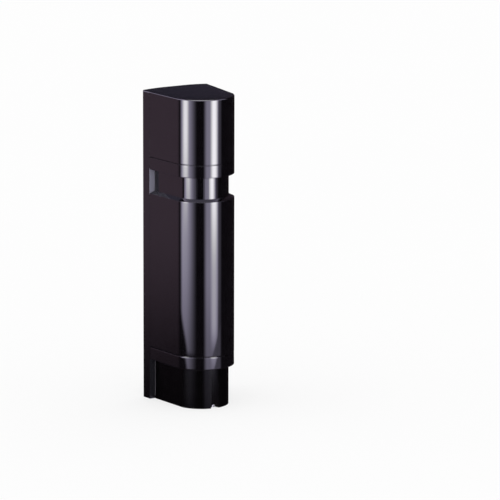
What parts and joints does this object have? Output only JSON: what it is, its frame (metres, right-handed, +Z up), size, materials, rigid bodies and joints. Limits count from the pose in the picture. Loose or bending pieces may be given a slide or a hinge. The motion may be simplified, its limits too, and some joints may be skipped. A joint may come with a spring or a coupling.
{
  "type": "quad beam sensor",
  "caption": "Wall or pole mounted photoelectric beam tower: glossy smoked cover over two stacked optical units that pan and tilt, with a lock screw below.",
  "frame": {"origin": "centre of the bounding box at the base, on the surface that the tower stands on", "axes": "+Z up, -Y out of the curved front towards the other tower, +Y into the wall, +X to the right seen from the front"},
  "size_m": [0.0862, 0.098, 0.361],
  "materials": {
    "cover_gloss": "high gloss smoked polycarbonate",
    "base_satin": "satin moulded",
    "chassis_black": "semi-gloss moulded",
    "inner_black": "fine texture moulded",
    "steel_plate": "zinc plated sheet",
    "screw_steel": "plated",
    "seal_rubber": "matte",
    "board_green": "solder mask",
    "chip_black": "epoxy",
    "capacitor_blue": "sleeve",
    "relay_blue": "moulded case",
    "cream_plastic": "moulded",
    "terminal_green": "moulded",
    "trimmer_orange": "moulded",
    "indicator_red": "translucent epoxy",
    "yoke_grey": "moulded",
    "bezel_grey": "moulded",
    "lens_glass": "infrared filter lens",
    "emitter_violet": "epoxy lens",
    "sight_mirror": "polished"
  },
  "bodies": {
    "chassis": {"rear_chassis": "chassis_black", "mounting_plate": "steel_plate", "plate_screws": "screw_steel", "weather_gasket": "seal_rubber", "wire_grommet": "seal_rubber", "lock_bracket": "steel_plate", "cover_hanger": "steel_plate", "bracket_screws": "screw_steel", "upper_shelf": "inner_black", "lower_shelf": "inner_black", "control_housing": "inner_black", "main_board": "board_green", "board_standoffs": "screw_steel", "board_screws": "screw_steel", "board_chips": "chip_black", "board_capacitors": "capacitor_blue", "board_relay": "relay_blue", "board_sockets": "cream_plastic", "status_leds": "indicator_red", "test_pins": "cream_plastic", "terminal_base": "inner_black", "terminal_block": "terminal_green", "terminal_screws": "screw_steel", "tamper_switch": "chip_black", "mode_switch": "chip_black"},
    "cover": {"upper_cover": "cover_gloss", "upper_band": "cover_gloss", "neck_shell": "cover_gloss", "lower_cover": "cover_gloss", "lower_band": "cover_gloss", "base_skirt": "base_satin"},
    "lock": {"lock_screw": "screw_steel"},
    "upper_yoke": {"upper_turntable": "yoke_grey", "upper_pivot_clip": "screw_steel", "upper_tilt_pins": "screw_steel"},
    "upper_head": {"upper_lens_block": "inner_black", "upper_lenses": "lens_glass", "upper_bezels": "bezel_grey", "upper_optic_board": "board_green", "upper_emitters": "emitter_violet", "upper_sight_frame": "yoke_grey", "upper_sight_mirrors": "sight_mirror"},
    "upper_adjuster": {"upper_tilt_screw": "screw_steel"},
    "lower_yoke": {"lower_turntable": "yoke_grey", "lower_pivot_clip": "screw_steel", "lower_tilt_pins": "screw_steel"},
    "lower_head": {"lower_lens_block": "inner_black", "lower_lenses": "lens_glass", "lower_bezels": "bezel_grey", "lower_optic_board": "board_green", "lower_emitters": "emitter_violet", "lower_sight_frame": "yoke_grey", "lower_sight_mirrors": "sight_mirror"},
    "lower_adjuster": {"lower_tilt_screw": "screw_steel"},
    "power_knob": {"power_selector": "cream_plastic"},
    "channel_knob": {"channel_selector": "cream_plastic"},
    "trimmer_knob": {"response_trimmer": "trimmer_orange"},
    "mode_button": {"mode_slider": "cream_plastic"},
    "tamper_button": {"tamper_plunger": "cream_plastic"}
  },
  "joints": [
    {"name": "cover_slide", "type": "slide", "parent": "chassis", "child": "cover", "axis": [0, -1, 0], "range_m": [0, 0.13]},
    {"name": "lock_turn", "type": "hinge", "parent": "cover", "child": "lock", "pos_m": [0, -0.0351, 0], "axis": [0, 0, 1], "continuous": true},
    {"name": "upper_pan", "type": "hinge", "parent": "chassis", "child": "upper_yoke", "pos_m": [0, -0.01121, 0.3177], "axis": [0, 0, 1], "range_deg": [-90, 90]},
    {"name": "upper_tilt", "type": "hinge", "parent": "upper_yoke", "child": "upper_head", "pos_m": [0, -0.01121, 0.3177], "axis": [1, 0, 0], "range_deg": [-5, 5]},
    {"name": "upper_adjust", "type": "hinge", "parent": "upper_yoke", "child": "upper_adjuster", "pos_m": [0, -0.01121, 0.2819], "axis": [0, -1, 0], "range_deg": [-1440, 1440]},
    {"name": "lower_pan", "type": "hinge", "parent": "chassis", "child": "lower_yoke", "pos_m": [0, -0.01121, 0.1117], "axis": [0, 0, 1], "range_deg": [-90, 90]},
    {"name": "lower_tilt", "type": "hinge", "parent": "lower_yoke", "child": "lower_head", "pos_m": [0, -0.01121, 0.1117], "axis": [1, 0, 0], "range_deg": [-5, 5]},
    {"name": "lower_adjust", "type": "hinge", "parent": "lower_yoke", "child": "lower_adjuster", "pos_m": [0, -0.01121, 0.0759], "axis": [0, -1, 0], "range_deg": [-1440, 1440]},
    {"name": "power_turn", "type": "hinge", "parent": "chassis", "child": "power_knob", "pos_m": [-0.013, 0.014, 0.238], "axis": [0, -1, 0], "range_deg": [-150, 150]},
    {"name": "channel_turn", "type": "hinge", "parent": "chassis", "child": "channel_knob", "pos_m": [0.013, 0.014, 0.238], "axis": [0, -1, 0], "range_deg": [-135, 135]},
    {"name": "response_turn", "type": "hinge", "parent": "chassis", "child": "trimmer_knob", "pos_m": [0, 0.014, 0.214], "axis": [0, -1, 0], "range_deg": [-130, 130]},
    {"name": "mode_slide", "type": "slide", "parent": "chassis", "child": "mode_button", "axis": [1, 0, 0], "range_m": [-0.003, 0.003]},
    {"name": "tamper_press", "type": "slide", "parent": "chassis", "child": "tamper_button", "axis": [0, 1, 0], "range_m": [0, 0.002], "stiffness_N_per_m": 150, "springref_m": -0.002}
  ],
  "couplings": [
    {"joint": "upper_adjust", "follows": "upper_tilt", "ratio": 288},
    {"joint": "lower_adjust", "follows": "lower_tilt", "ratio": 288}
  ]
}
